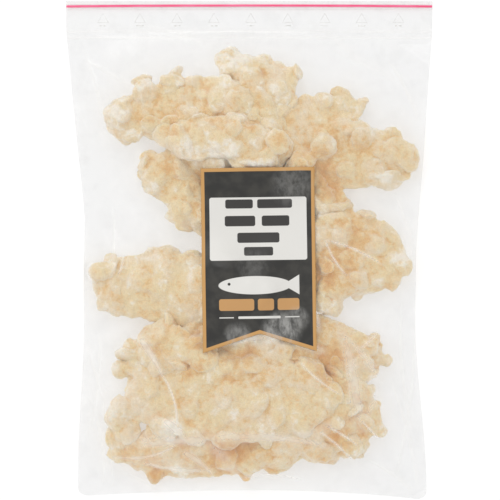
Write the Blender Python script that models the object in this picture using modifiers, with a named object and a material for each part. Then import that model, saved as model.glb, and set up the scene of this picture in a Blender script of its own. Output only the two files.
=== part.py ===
"""Clear zip bag of battered fish fillets, lying on its back with the label up.

The bag is one solid out to its film. Its form is worked out from what it holds: every fillet
is a domed oblong at its own place, heading and tilt, and the film is a slack skin that rests on
their tops, sags between them and meets its own back at the seams. The zip's coloured bead and
the swallow-tailed label are separate pieces that lie on that skin.

Metres, +Z up, the zip end towards +Y. The origin is under the middle of the bag, at its base.
"""

import math

import bmesh
import bpy
import numpy as np
from mathutils import Matrix

# Bag
BAG_WIDTH = 0.255  # flat, across the zip
BAG_LENGTH = 0.3475  # from the zip end to the lowest corner
HEADER_LENGTH = 0.022  # straight flap that carries the zip
WELD_THICKNESS = 0.0010  # both films together, at the seams and the header
WAIST_INSET = (0.0130, 0.0122)  # how far the filled bag pulls its left and right seams in
FOOT_INSET = (0.0083, 0.0040)
WAIST_TOP = (0.020, -0.007)  # y where the left and right seams reach the waist
WAIST_FOOT = -0.050  # y where they leave it again
FOOT_RISE = (0.0050, 0.0078)  # how much higher the foot's middle is than its two corners
CORNER_RADIUS = 0.0060
SEAM_WIDTH = 0.0020  # the two films are one along each side
CELLS_ACROSS, CELLS_ALONG = 46, 58  # the outermost cell of each row is the seam

# Film
FILM_CLEARANCE = 0.0012  # batter knobs that stand above the fillets' plain domes
SAG_PER_METRE = 34.0  # curvature of the slack film where nothing holds it up
LABEL_SAG_SHARE = 0.12  # the label stiffens the film under it
SETTLING_STEPS = 900
ON_GROUND = 1e-6  # height below which a point of the back film lies on the ground
GROUND_SLOPE = math.radians(0.8)  # faces on the ground this flat are joined into large ones

SEAMS = (np.s_[:, :2], np.s_[:, -2:], np.s_[:1, :])  # left, right and foot, on the film's grid

# Fillets: x and y of the middle, heading of the head end in degrees, length, width, height of the
# middle above the ground, and tilt of the head end upwards in degrees
FILLET_THICKNESS = 0.0170
FILLETS = {
    "top_left": (-0.0390, 0.0950, -3, 0.136, 0.053, 0.0165, 6.0),
    "top_middle": (0.0090, 0.1010, -80, 0.078, 0.058, 0.0090, 0.0),
    "top_right": (0.0690, 0.0750, -19, 0.116, 0.060, 0.0105, -1.0),
    "shoulder": (-0.0410, 0.0295, -41, 0.108, 0.039, 0.0090, 0.0),
    "middle_left": (-0.0530, -0.0255, -2, 0.127, 0.053, 0.0110, 2.0),
    "middle_right": (0.0670, -0.0047, 178, 0.089, 0.053, 0.0150, 7.0),
    "under_label": (0.0420, -0.0033, 90, 0.104, 0.042, 0.0090, 0.0),
    "lower_right": (0.0630, -0.0610, 163, 0.080, 0.036, 0.0115, 6.0),
    "lower_left": (-0.0480, -0.0770, 1, 0.094, 0.039, 0.0090, 0.0),
    "lower_middle": (-0.0155, -0.1055, 0, 0.170, 0.061, 0.0225, 0.0),
    "foot_left": (-0.0620, -0.1403, -12, 0.087, 0.036, 0.0090, 0.0),
    "foot_middle": (0.0180, -0.1375, 8, 0.132, 0.040, 0.0090, 0.0),
    "foot_right": (0.0655, -0.1145, -12, 0.076, 0.042, 0.0090, 0.0),
}
PLAN_POWER = 2.5  # squareness of a fillet's outline seen from above
DOME_POWER = 0.42  # fullness of its back
LOBES = ((3, 0.07), (5, 0.06), (8, 0.04))  # waves round the outline, and how far each swells it
LUMPS = ((0.046, 15), (0.033, 78), (0.026, 141))  # swellings of its back: spacing and direction
LUMP_HEIGHT = 0.0009  # of each set of swellings

# Label
LABEL_WIDTH = 0.0780
LABEL_LENGTH = 0.1265
LABEL_NOTCH = 0.0127  # depth of the swallow tail
LABEL_TOP_MIDDLE = (0.0056, 0.0565)
LABEL_TURN = math.radians(0.8)
LABEL_THICKNESS = 0.0004
LABEL_GAP = 0.0008  # clears the facets of the film between the label's own points
LABEL_CELLS_ACROSS, LABEL_CELLS_ALONG = 16, 26

# Zip
ZIP_FROM_END = 0.0042
ZIP_BEAD_WIDTH, ZIP_BEAD_HEIGHT = 0.0022, 0.0011
ZIP_END_GAP = 0.0004
ZIP_LIFT = 0.0004  # above the header


def smooth_step(value):
    """0 below 0, 1 above 1, and a soft ramp between."""
    value = np.clip(value, 0.0, 1.0)
    return value * value * (3.0 - 2.0 * value)


# Outline of the filled bag, seen from above


def side_inset(y, side):
    """How far in a side seam lies at height y of the bag: 0 on the header, most at the waist."""
    header_foot = BAG_LENGTH / 2 - HEADER_LENGTH
    pull = np.clip((header_foot - y) / (header_foot - WAIST_TOP[side]), 0.0, 1.0)
    release = smooth_step((WAIST_FOOT - y) / (WAIST_FOOT + BAG_LENGTH / 2))
    return WAIST_INSET[side] * pull - (WAIST_INSET[side] - FOOT_INSET[side]) * release


def foot_line(x, left, right):
    """y of the bag's foot: it rises to the middle, and its corners are rounded."""
    half = np.where(x < 0, -left, right)
    share = np.clip(np.abs(x) / half, 0.0, 1.0)
    rise = np.where(x < 0, FOOT_RISE[0], FOOT_RISE[1])
    lowest = np.where(x < 0, max(FOOT_RISE) - FOOT_RISE[0], 0.0)
    past = np.clip(CORNER_RADIUS - half * (1.0 - share), 0.0, CORNER_RADIUS)
    corner = CORNER_RADIUS - np.sqrt(CORNER_RADIUS**2 - past**2)
    return -BAG_LENGTH / 2 + lowest + rise * (1.0 - share**2) + corner


def shares_across():
    """Places of the grid's columns: 0 and 1 are the edges, with a seam inside each."""
    seam = SEAM_WIDTH / BAG_WIDTH
    return np.concatenate(([0.0], np.linspace(seam, 1.0 - seam, CELLS_ACROSS - 1), [1.0]))


def film_plan():
    """x and y of the film's grid: row 0 is the foot, and column 0 is the left edge."""
    across, along = np.meshgrid(shares_across(), np.linspace(0.0, 1.0, CELLS_ALONG + 1))
    level = (along - 0.5) * BAG_LENGTH
    left = -BAG_WIDTH / 2 + side_inset(level, 0)
    right = BAG_WIDTH / 2 - side_inset(level, 1)
    x = left + (right - left) * across
    foot = foot_line(x, left, right)
    y = foot + (BAG_LENGTH / 2 - foot) * along
    return x, y - (y.max() + y.min()) / 2


# Contents and film


def wave_along(x, y, spacing, direction):
    """A wave from -1 to 1 that runs in one direction of the plan, in degrees from +X."""
    turn = math.radians(direction)
    return np.cos(2 * math.pi * (x * math.cos(turn) + y * math.sin(turn)) / spacing)


def fillet_top(x, y, fillet):
    """Height of a fillet's domed back above the ground, and far below it beside the fillet."""
    middle_x, middle_y, heading, length, width, lift, tilt = fillet
    turn = math.radians(heading)
    along = (x - middle_x) * math.cos(turn) + (y - middle_y) * math.sin(turn)
    across = (y - middle_y) * math.cos(turn) - (x - middle_x) * math.sin(turn)
    around = np.arctan2(across / width, along / length)
    swell = 1.0 + sum(share * np.cos(waves * around + waves * turn) for waves, share in LOBES)
    reach_along, reach_across = length / 2 * swell, width / 2 * swell
    spread = np.abs(along / reach_along) ** PLAN_POWER + np.abs(across / reach_across) ** PLAN_POWER
    dome = FILLET_THICKNESS / 2 * np.clip(1.0 - spread, 0.0, 1.0) ** DOME_POWER
    lumps = sum(wave_along(x, y, spacing, direction) for spacing, direction in LUMPS)
    back = lift + along * math.sin(math.radians(tilt)) + dome + LUMP_HEIGHT * lumps
    return np.where(spread < 1.0, back, -1.0)


def label_frame(x, y):
    """A point in the label's own frame: x from its middle line, y down from its top edge."""
    dx, dy = x - LABEL_TOP_MIDDLE[0], y - LABEL_TOP_MIDDLE[1]
    cos, sin = math.cos(LABEL_TURN), math.sin(LABEL_TURN)
    return dx * cos + dy * sin, dx * sin - dy * cos


def neighbour_mean(height):
    """The mean of the four neighbours of every inner point."""
    return (height[:-2, 1:-1] + height[2:, 1:-1] + height[1:-1, :-2] + height[1:-1, 2:]) / 4


def settle_film(x, y):
    """Heights of the front film and the back film over the plan points."""
    contents = np.max([fillet_top(x, y, fillet) for fillet in FILLETS.values()], axis=0)
    held_up = contents + FILM_CLEARANCE
    label_x, label_y = label_frame(x, y)
    under_label = (np.abs(label_x) < LABEL_WIDTH / 2) & (label_y > 0) & (label_y < LABEL_LENGTH)
    header = y > BAG_LENGTH / 2 - HEADER_LENGTH
    cell = BAG_LENGTH / CELLS_ALONG
    sag = SAG_PER_METRE * cell * cell / 4 * np.where(under_label, LABEL_SAG_SHARE, 1.0)

    front = np.maximum(held_up, WELD_THICKNESS)
    back = np.zeros_like(front)
    for _ in range(SETTLING_STEPS):
        front[1:-1, 1:-1] = neighbour_mean(front) - sag[1:-1, 1:-1]
        front = np.maximum(front, held_up)
        middle = (front + back) / 2
        inside = (middle[:, 2:3], middle[:, -3:-2], middle[1:2])
        back[1:-1, 1:-1] = neighbour_mean(back) - sag[1:-1, 1:-1]
        for seam, beside in zip(SEAMS, inside):
            back[seam] = np.maximum(beside - WELD_THICKNESS / 2 - sag[seam], 0.0)
            front[seam] = back[seam] + WELD_THICKNESS
        back = np.where(header, 0.0, np.maximum(back, 0.0))
        front = np.where(header, WELD_THICKNESS, np.maximum(front, back + WELD_THICKNESS))
    return front, back


# Pieces


def plain_material(name, colour, roughness):
    material = bpy.data.materials.new(name)
    material.use_nodes = True
    shader = material.node_tree.nodes["Principled BSDF"]
    shader.inputs["Base Color"].default_value = (*colour, 1.0)
    shader.inputs["Roughness"].default_value = roughness
    shader.inputs["Metallic"].default_value = 0.0
    return material


def add_piece(name, mesh, material, collection):
    piece = bpy.data.objects.new(name, mesh)
    mesh.materials.append(material)
    collection.objects.link(piece)
    return piece


def grid_places(vertices, columns, rows):
    """Column and row of each vertex of a unit grid around the origin."""
    return {v: (round((v.co.x + 0.5) * columns), round((v.co.y + 0.5) * rows)) for v in vertices}


def grid_mesh(cells_across, cells_along):
    """A unit grid, and its vertices' columns and rows."""
    grid = bmesh.new()
    bmesh.ops.create_grid(grid, x_segments=cells_across, y_segments=cells_along, size=0.5)
    return grid, grid_places(grid.verts, cells_across, cells_along)


def make_bag(collection):
    """The back film's grid, extruded up to the front film, with its flat stretches joined."""
    x, y = film_plan()
    front, back = settle_film(x, y)
    grid, places = grid_mesh(CELLS_ACROSS, CELLS_ALONG)
    lower = list(grid.verts)
    extruded = bmesh.ops.extrude_face_region(grid, geom=list(grid.faces), use_keep_orig=True)
    upper = [item for item in extruded["geom"] if isinstance(item, bmesh.types.BMVert)]
    places.update(grid_places(upper, CELLS_ACROSS, CELLS_ALONG))
    for heights, vertices in ((front, upper), (back, lower)):
        for vertex in vertices:
            column, row = places[vertex]
            vertex.co = (x[row, column], y[row, column], heights[row, column])
    bmesh.ops.recalc_face_normals(grid, faces=list(grid.faces))

    ground = {vertex for vertex in lower if vertex.co.z < ON_GROUND}
    edges = [edge for edge in grid.edges if ground.issuperset(edge.verts)]
    bmesh.ops.dissolve_limit(grid, angle_limit=GROUND_SLOPE, verts=list(ground), edges=edges)
    mesh = bpy.data.meshes.new("bag")
    grid.to_mesh(mesh)
    grid.free()
    film = plain_material("clear_film", (0.80, 0.76, 0.66), 0.25)
    return add_piece("bag", mesh, film, collection)


def height_of(bag, x, y):
    """Height of the bag's front at one point, found by a ray from above."""
    return bag.ray_cast((x, y, BAG_WIDTH), (0.0, 0.0, -1.0))[1].z


def make_label(bag, collection):
    """A grid cut to the swallow tail and laid on the front film, thickened upwards."""
    grid, places = grid_mesh(LABEL_CELLS_ACROSS, LABEL_CELLS_ALONG)
    cos, sin = math.cos(LABEL_TURN), math.sin(LABEL_TURN)
    for vertex, (column, row) in places.items():
        label_x = (column / LABEL_CELLS_ACROSS - 0.5) * LABEL_WIDTH
        tail = LABEL_LENGTH - LABEL_NOTCH * (1.0 - abs(2.0 * label_x / LABEL_WIDTH))
        label_y = tail * (1.0 - row / LABEL_CELLS_ALONG)
        x = LABEL_TOP_MIDDLE[0] + label_x * cos + label_y * sin
        y = LABEL_TOP_MIDDLE[1] + label_x * sin - label_y * cos
        vertex.co = (x, y, height_of(bag, x, y) + LABEL_GAP)
    mesh = bpy.data.meshes.new("label")
    grid.to_mesh(mesh)
    grid.free()
    ink = plain_material("label_print", (0.055, 0.053, 0.048), 0.4)
    label = add_piece("label", mesh, ink, collection)
    wall = label.modifiers.new("thickness", "SOLIDIFY")
    wall.thickness = LABEL_THICKNESS
    wall.offset = 1.0
    return label


def make_zip_track(collection):
    """The coloured bead of the zip, a bar with rounded edges that lies across the header."""
    bar = bmesh.new()
    size = (BAG_WIDTH - 2 * ZIP_END_GAP, ZIP_BEAD_WIDTH, ZIP_BEAD_HEIGHT)
    bmesh.ops.create_cube(bar, size=1.0, matrix=Matrix.Diagonal((*size, 1.0)))
    mesh = bpy.data.meshes.new("zip_track")
    bar.to_mesh(mesh)
    bar.free()
    colour = plain_material("zip_colour", (0.90, 0.16, 0.30), 0.35)
    bead = add_piece("zip_track", mesh, colour, collection)
    bead.location.y = BAG_LENGTH / 2 - ZIP_FROM_END
    bead.location.z = WELD_THICKNESS + ZIP_LIFT + ZIP_BEAD_HEIGHT / 2
    edge = bead.modifiers.new("rounded_edges", "BEVEL")
    edge.width = ZIP_BEAD_HEIGHT / 4
    edge.segments = 2
    return bead


def main():
    for old in list(bpy.data.objects):
        bpy.data.objects.remove(old, do_unlink=True)
    collection = bpy.data.collections.new("fish_fillet_bag")
    bpy.context.scene.collection.children.link(collection)
    bag = make_bag(collection)
    bpy.context.view_layer.update()
    make_label(bag, collection)
    make_zip_track(collection)
    height = max(vertex.co.z for vertex in bag.data.vertices)
    print("the bag stands", round(height * 1000, 1), "mm high")


main()
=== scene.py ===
# %% [markdown]
# # A clear zip bag of battered fish fillets
#
# The real object is a bag of thin clear film with about a dozen pale, lumpy fillets inside, a
# dark label stuck on its front and a coloured zip at its end. It lies on its back.
#
# The frame holds the plain solids that collide and weigh. This script makes what is seen: the
# fillets one by one, the film that is draped over them, the zip, and the printed label.
# Every length is in metres, and every place is a share of the bag's own box, which the frame
# gives, so that nothing has to be fitted afterwards.

import math

import bmesh
import bpy
import numpy as np
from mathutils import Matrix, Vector


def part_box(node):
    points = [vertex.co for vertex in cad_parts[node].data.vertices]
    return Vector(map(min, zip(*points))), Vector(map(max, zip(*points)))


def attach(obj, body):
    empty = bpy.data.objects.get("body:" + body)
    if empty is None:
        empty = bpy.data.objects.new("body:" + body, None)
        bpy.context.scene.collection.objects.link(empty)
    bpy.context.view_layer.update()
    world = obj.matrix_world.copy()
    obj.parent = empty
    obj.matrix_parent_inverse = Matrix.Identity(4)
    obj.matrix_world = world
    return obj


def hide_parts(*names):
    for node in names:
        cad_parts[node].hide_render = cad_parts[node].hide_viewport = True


MM = 0.001

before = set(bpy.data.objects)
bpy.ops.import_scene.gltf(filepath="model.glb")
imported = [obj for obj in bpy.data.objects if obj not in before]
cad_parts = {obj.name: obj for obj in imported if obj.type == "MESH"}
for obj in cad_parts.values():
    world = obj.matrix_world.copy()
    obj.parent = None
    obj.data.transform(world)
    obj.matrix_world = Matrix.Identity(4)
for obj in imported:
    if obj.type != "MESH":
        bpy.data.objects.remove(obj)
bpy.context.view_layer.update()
bag_low, bag_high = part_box("bag")
BAG_WIDTH = bag_high.x - bag_low.x
BAG_LENGTH = bag_high.y - bag_low.y


def at(across, along, height=0.0):
    """A point of the bag: shares of its width from the left and of its length from the foot."""
    return Vector((bag_low.x + across * BAG_WIDTH, bag_low.y + along * BAG_LENGTH, height))


print("bag:", round(BAG_WIDTH, 4), "m wide and", round(BAG_LENGTH, 4), "m long")

# %% [markdown]
# ## The studio
#
# The bag lies on a white table and is seen from straight above. A long lens keeps the outline
# true: with a short one, the thick middle of the bag would look larger than its flat edges.
# A clear film shows only what it mirrors, so the lights are large and soft. One stands at the
# head of the table and one at its left, and a white surround fills the shadows.

# %% Camera
CAMERA_HEIGHT = 1.6
SENSOR = 36.0
VIEW_SIDE = 1.0037 * BAG_LENGTH

scene = bpy.context.scene
camera_data = bpy.data.cameras.new("camera")
camera_data.sensor_width = SENSOR
camera_data.lens = SENSOR * CAMERA_HEIGHT / VIEW_SIDE
camera = bpy.data.objects.new("camera", camera_data)
camera.location = at(0.502, 0.5, CAMERA_HEIGHT)
scene.collection.objects.link(camera)
scene.camera = camera
scene.view_settings.view_transform = "Standard"
print("lens:", round(camera_data.lens), "mm")


# %% Lights and surround
def add_softbox(name, place, side, power):
    """A square light that looks at the middle of the bag."""
    data = bpy.data.lights.new(name, "AREA")
    data.size = side
    data.energy = power
    lamp = bpy.data.objects.new(name, data)
    lamp.location = place
    lamp.rotation_euler = (at(0.5, 0.5) - Vector(place)).to_track_quat("-Z", "Y").to_euler()
    scene.collection.objects.link(lamp)


add_softbox("head_softbox", (-0.25, 1.0, 1.0), side=0.7, power=2.0)
add_softbox("left_softbox", (-1.1, 0.1, 0.9), side=0.6, power=1.0)

world = bpy.data.worlds.new("white_surround")
world.use_nodes = True
world.node_tree.nodes["Background"].inputs["Color"].default_value = (1.0, 1.0, 1.0, 1.0)
world.node_tree.nodes["Background"].inputs["Strength"].default_value = 0.91
scene.world = world

# %% [markdown]
# ## A short hand for nodes
#
# Geometry and materials are both made with nodes here. A node has settings, such as the kind
# of sum that a Math node does, and sockets, which take a value or a wire from another node.
# This helper adds a node in one line and lays the nodes out from left to right, so that the
# trees can be read in Blender as well.


# %% Node helper
class Tree:
    """Adds nodes to a tree. An input is a value, or another node's output socket."""

    STEP = 190

    def __init__(self, tree):
        self.tree = tree
        self.count = len(tree.nodes)

    def add(self, kind, inputs=None, **settings):
        node = self.tree.nodes.new(kind)
        node.location = (self.count % 12 * self.STEP, -(self.count // 12) * 2 * self.STEP)
        self.count += 1
        for name, value in settings.items():
            setattr(node, name, value)
        for name, value in (inputs or {}).items():
            if isinstance(value, bpy.types.NodeSocket):
                self.tree.links.new(value, node.inputs[name])
            else:
                node.inputs[name].default_value = value
        return node

    def math(self, operation, *values, clamp=False):
        """The result of a Math node."""
        inputs = dict(enumerate(values))
        kind = "ShaderNodeMath"
        return self.add(kind, inputs, operation=operation, use_clamp=clamp).outputs[0]

    def between(self, value, low, high, to_low=0.0, to_high=1.0):
        """value, carried smoothly from low..high to to_low..to_high."""
        inputs = {"Value": value, 1: low, 2: high, 3: to_low, 4: to_high}
        return self.add("ShaderNodeMapRange", inputs, interpolation_type="SMOOTHSTEP").outputs[0]

    def mix(self, share, first, second, blend="MIX"):
        """Two colours, mixed by a share from 0 to 1."""
        node = self.add("ShaderNodeMix", data_type="RGBA", blend_type=blend)
        for socket, value in ((0, share), (6, first), (7, second)):
            if isinstance(value, bpy.types.NodeSocket):
                self.tree.links.new(value, node.inputs[socket])
            elif socket == 0:
                node.inputs[socket].default_value = value
            else:
                node.inputs[socket].default_value = (*value, 1.0)
        return node.outputs[2]


def new_group(name, kind, inputs, outputs):
    """A node group with named inputs, {name: (socket type, default)}, and outputs {name: type}."""
    group = bpy.data.node_groups.new(name, kind)
    for label, (socket_type, default) in inputs.items():
        socket = group.interface.new_socket(label, in_out="INPUT", socket_type=socket_type)
        if default is not None:
            socket.default_value = default
    for label, socket_type in outputs.items():
        group.interface.new_socket(label, in_out="OUTPUT", socket_type=socket_type)
    return group


def new_material(name):
    """A material with its nodes, and its Principled BSDF."""
    material = bpy.data.materials.new(name)
    material.use_nodes = True
    return material, Tree(material.node_tree), material.node_tree.nodes["Principled BSDF"]


def from_srgb(red, green, blue):
    """A colour as a paint chart gives it, from 0 to 255, in the linear light that nodes use."""
    return tuple(((c / 255 + 0.055) / 1.055) ** 2.4 for c in (red, green, blue))


# %% [markdown]
# ## The fillets
#
# A battered fillet is a flat tapering piece of fish under a coat of batter. The batter sets in
# knobs and flat plates of all sizes, so the outline is ragged and the top is a landscape of
# pale swellings with tan hollows between them.
#
# It could be sculpted by hand or displaced from a smooth shape, but displacement can't make
# knobs that overhang. So each fillet is grown in three steps. A curved row of flattened balls
# along its spine gives the fish, and a few more balls give its largest lobes. Geometry Nodes
# then scatter plates and crumbs over that core and melt everything into one skin through a
# volume. Last, the skin is roughened, and each point notes whether it lies on a knob or in a
# hollow, which the batter's colour follows.

# %% Where the fillets lie
FILLET_HALF_THICKNESS = 7.0 * MM
COAT_DEPTH = 2.0 * MM
LOWEST_BATTER = 0.7 * MM  # above the table, which leaves room for the film under it

# Each spine runs from the tail over the middle to the head: across, along, height and half
# width, the last two in millimetres. A lobe is a ball: across, along, height and radius. The
# browning is that of the fillet as a whole: 0 is cream, and 1 is tan nearly all over. The
# listed browned spots later add painted shade to it.
FILLETS = {
    "top_right": {
        "browning_and_shade": 0.25,
        "spine": [(0.92, 0.682, 9, 12), (0.755, 0.695, 10, 28.5), (0.57, 0.752, 9, 25)],
        "lobes": [
            (0.70, 0.797, 9, 9), (0.745, 0.793, 9, 8), (0.70, 0.715, 15, 9), (0.80, 0.74, 14, 9),
            (0.64, 0.67, 14, 9), (0.78, 0.79, 10, 7), (0.928, 0.698, 9, 5), (0.65, 0.802, 9, 7),
            (0.70, 0.605, 9, 13), (0.745, 0.60, 8, 8),
        ],
    },
    "top_middle": {
        "browning_and_shade": 0.1,
        "spine": [(0.456, 0.87, 8.5, 12), (0.522, 0.834, 10, 20), (0.577, 0.806, 12, 19)],
        "lobes": [
            (0.446, 0.898, 8.5, 6.5), (0.61, 0.852, 9, 8), (0.58, 0.87, 9, 6), (0.54, 0.75, 13, 18),
        ],
    },
    "shoulder": {
        "browning_and_shade": 0.15,
        "spine": [(0.232, 0.657, 9, 15), (0.338, 0.604, 9, 19), (0.425, 0.54, 8.5, 17)],
        "lobes": [
            (0.235, 0.685, 9, 8), (0.31, 0.68, 9, 11), (0.37, 0.68, 9, 12), (0.41, 0.668, 10, 13),
            (0.45, 0.68, 10, 12), (0.53, 0.67, 10, 10),
        ],
    },
    "top_left": {
        "browning_and_shade": -0.05,
        "spine": [(0.16, 0.757, 10, 13), (0.30, 0.79, 12, 20), (0.48, 0.795, 14, 20)],
        "lobes": [
            (0.143, 0.768, 13, 12), (0.152, 0.792, 12, 6), (0.177, 0.733, 11, 9),
            (0.213, 0.822, 12, 9), (0.284, 0.822, 14, 9.5), (0.352, 0.832, 14, 9),
            (0.308, 0.846, 12, 5.5), (0.425, 0.808, 13, 8),
        ],
    },
    "top_lower": {
        "browning_and_shade": -0.1,
        "spine": [(0.30, 0.727, 15, 12), (0.44, 0.722, 19, 19), (0.60, 0.70, 16, 15)],
        "lobes": [
            (0.338, 0.697, 18, 9), (0.275, 0.73, 12, 8), (0.317, 0.747, 18, 7),
            (0.475, 0.737, 22, 9), (0.57, 0.715, 20, 9),
        ],
    },
    "middle_right": {
        "browning_and_shade": 0.3,
        "spine": [(0.852, 0.484, 9, 26), (0.742, 0.491, 10, 33), (0.598, 0.477, 10, 24)],
        "lobes": [
            (0.695, 0.405, 9, 9), (0.715, 0.39, 9, 9), (0.86, 0.545, 12, 7), (0.845, 0.51, 14, 8),
            (0.75, 0.535, 14, 9), (0.79, 0.44, 14, 9), (0.887, 0.438, 11, 9), (0.715, 0.46, 14, 9),
            (0.765, 0.588, 9, 7),
        ],
    },
    "middle_left": {
        "browning_and_shade": 0.1,
        "spine": [(0.13, 0.432, 9, 22), (0.27, 0.425, 12, 27), (0.502, 0.42, 21, 27)],
        "lobes": [
            (0.105, 0.457, 9, 10), (0.14, 0.387, 9, 9), (0.31, 0.375, 11, 13),
            (0.24, 0.377, 10, 10),
        ],
    },
    "lower_right": {
        "browning_and_shade": 0.35,
        "spine": [(0.84, 0.285, 9, 13), (0.725, 0.308, 9, 21), (0.584, 0.34, 10, 22)],
        "lobes": [
            (0.872, 0.281, 8, 7), (0.808, 0.247, 9, 8),
        ],
    },
    "lower_left": {
        "browning_and_shade": 0.15,
        "spine": [(0.20, 0.305, 12, 12), (0.297, 0.308, 17, 16), (0.39, 0.312, 18, 14)],
        "lobes": [
            (0.175, 0.307, 11, 8), (0.27, 0.35, 11, 9), (0.36, 0.36, 12, 13), (0.37, 0.287, 19, 9),
            (0.32, 0.283, 18, 8), (0.45, 0.35, 14, 14),
        ],
    },
    "foot_left": {
        "browning_and_shade": 0.65,
        "spine": [(0.17, 0.092, 8.5, 13), (0.393, 0.112, 8.5, 27), (0.638, 0.125, 8.5, 17)],
        "lobes": [
            (0.195, 0.07, 8.5, 7), (0.245, 0.05, 8.5, 8), (0.14, 0.092, 8.5, 9),
            (0.69, 0.108, 8, 12), (0.77, 0.105, 8, 10),
        ],
    },
    "foot_right": {
        "browning_and_shade": 0.6,
        "spine": [(0.82, 0.157, 9, 14), (0.76, 0.185, 9, 22), (0.638, 0.225, 9, 20)],
        "lobes": [
            (0.69, 0.138, 9, 12), (0.745, 0.135, 9, 12), (0.80, 0.112, 9, 9), (0.855, 0.14, 9, 7),
        ],
    },
    "lower_middle": {
        "browning_and_shade": 0.0,
        "spine": [(0.20, 0.208, 11, 19), (0.42, 0.203, 17, 33), (0.693, 0.203, 14.5, 29)],
        "lobes": [
            (0.152, 0.262, 11, 9), (0.20, 0.28, 12, 9), (0.26, 0.272, 13, 11),
            (0.14, 0.166, 11, 11), (0.142, 0.186, 11, 9), (0.168, 0.138, 10, 12),
            (0.77, 0.20, 15, 8), (0.73, 0.15, 13, 9), (0.47, 0.30, 14, 14), (0.53, 0.315, 15, 13),
            (0.58, 0.295, 14, 12),
        ],
    },
}
SPINE_STEPS = 16
END_TAPER = 0.2  # the share of the spine over which each end narrows


def spine_point(stations, share):
    """The spine's across, along, height and half width at a share of its length."""
    tail, middle, head = (np.array(station, float) for station in stations)
    bend = 2 * middle - (tail + head) / 2
    return (1 - share) ** 2 * tail + 2 * share * (1 - share) * bend + share**2 * head


def fillet_skeleton(name, spine, lobes):
    """A point for every ball of the core, with its radius in plan and its half height."""
    places, reaches, depths = [], [], []
    for share in np.linspace(0.0, 1.0, SPINE_STEPS):
        across, along, height, half_width = spine_point(spine, share)
        from_end = min(share, 1.0 - share) / END_TAPER
        rounding = 0.6 + 0.4 * math.sqrt(1.0 - max(0.0, 1.0 - from_end) ** 2)
        reach = max(half_width * MM * rounding - COAT_DEPTH, 3 * MM)
        places.append(at(across, along, height * MM))
        reaches.append(reach)
        depths.append(min(FILLET_HALF_THICKNESS, 0.55 * reach))
    for across, along, height, radius in lobes:
        reach = radius * MM - COAT_DEPTH / 2
        places.append(at(across, along, height * MM))
        reaches.append(reach)
        depths.append(min(FILLET_HALF_THICKNESS, 0.8 * reach))
    mesh = bpy.data.meshes.new(name)
    mesh.from_pydata(places, [], [])
    for label, values in (("reach", reaches), ("depth", depths)):
        mesh.attributes.new(label, "FLOAT", "POINT").data.foreach_set("value", values)
    skeleton = bpy.data.objects.new(name, mesh)
    scene.collection.objects.link(skeleton)
    return skeleton


# %% [markdown]
# The coat of batter is one tree that every fillet shares. Its inputs are the sizes and numbers
# of the plates and crumbs, the height of the roughness, and a seed, so that no two are alike.


# %% Geometry Nodes: the coat of batter
CLUSTER_SIZE = 24 * MM


def scattered_balls(nodes, skin, per_square_metre, smallest, largest, flatness, seed, ball):
    """Flattened balls of random size on a skin, thicker in clusters, as one mesh."""
    position = nodes.add("GeometryNodeInputPosition").outputs[0]
    patches = nodes.add(
        "ShaderNodeTexNoise",
        {"Vector": position, "W": seed, "Scale": 1 / CLUSTER_SIZE},
        noise_dimensions="4D",
    )
    share = nodes.between(patches.outputs[0], 0.42, 0.6, 0.45, 1.5)
    density = nodes.math("MULTIPLY", per_square_metre, share)
    points = nodes.add(
        "GeometryNodeDistributePointsOnFaces", {"Mesh": skin, "Density": density, "Seed": seed}
    )
    sizes = []
    for offset in (1, 2):
        other_seed = nodes.math("ADD", seed, offset * 37)
        inputs = {2: smallest, 3: largest, "Seed": other_seed}
        sizes.append(nodes.add("FunctionNodeRandomValue", inputs, data_type="FLOAT").outputs[1])
    height = nodes.math("MULTIPLY", sizes[0], flatness)
    scale = nodes.add("ShaderNodeCombineXYZ", {"X": sizes[0], "Y": sizes[1], "Z": height})
    balls = nodes.add(
        "GeometryNodeInstanceOnPoints",
        {
            "Points": points.outputs["Points"],
            "Instance": ball,
            "Rotation": points.outputs["Rotation"],
            "Scale": scale.outputs[0],
        },
    )
    return nodes.add("GeometryNodeRealizeInstances", {"Geometry": balls.outputs[0]}).outputs[0]


def melted(nodes, shapes, voxel):
    """Several closed shapes as one skin, through a volume of small cells."""
    joined = nodes.add("GeometryNodeJoinGeometry")
    for shape in shapes:
        nodes.tree.links.new(shape, joined.inputs[0])
    band = nodes.math("MULTIPLY", voxel, 2.0)
    volume = nodes.add(
        "GeometryNodeMeshToVolume",
        {"Mesh": joined.outputs[0], "Voxel Size": voxel, "Interior Band Width": band},
        resolution_mode="VOXEL_SIZE",
    )
    inputs = {"Volume": volume.outputs[0], "Threshold": 0.3}
    return nodes.add("GeometryNodeVolumeToMesh", inputs, resolution_mode="GRID").outputs[0]


def noise_offset(nodes, size, reach, seed):
    """A shift of up to about reach, in a direction and by an amount that wander over a size."""
    position = nodes.add("GeometryNodeInputPosition").outputs[0]
    noise = nodes.add(
        "ShaderNodeTexNoise",
        {"Vector": position, "W": seed, "Scale": 1.0 / size, "Detail": 2.0},
        noise_dimensions="4D",
    )
    inputs = {0: noise.outputs["Color"], 1: (0.5, 0.5, 0.5)}
    centred = nodes.add("ShaderNodeVectorMath", inputs, operation="SUBTRACT")
    twice = nodes.math("MULTIPLY", reach, 4.0)
    inputs = {0: centred.outputs[0], "Scale": twice}
    return nodes.add("ShaderNodeVectorMath", inputs, operation="SCALE").outputs[0]


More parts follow.
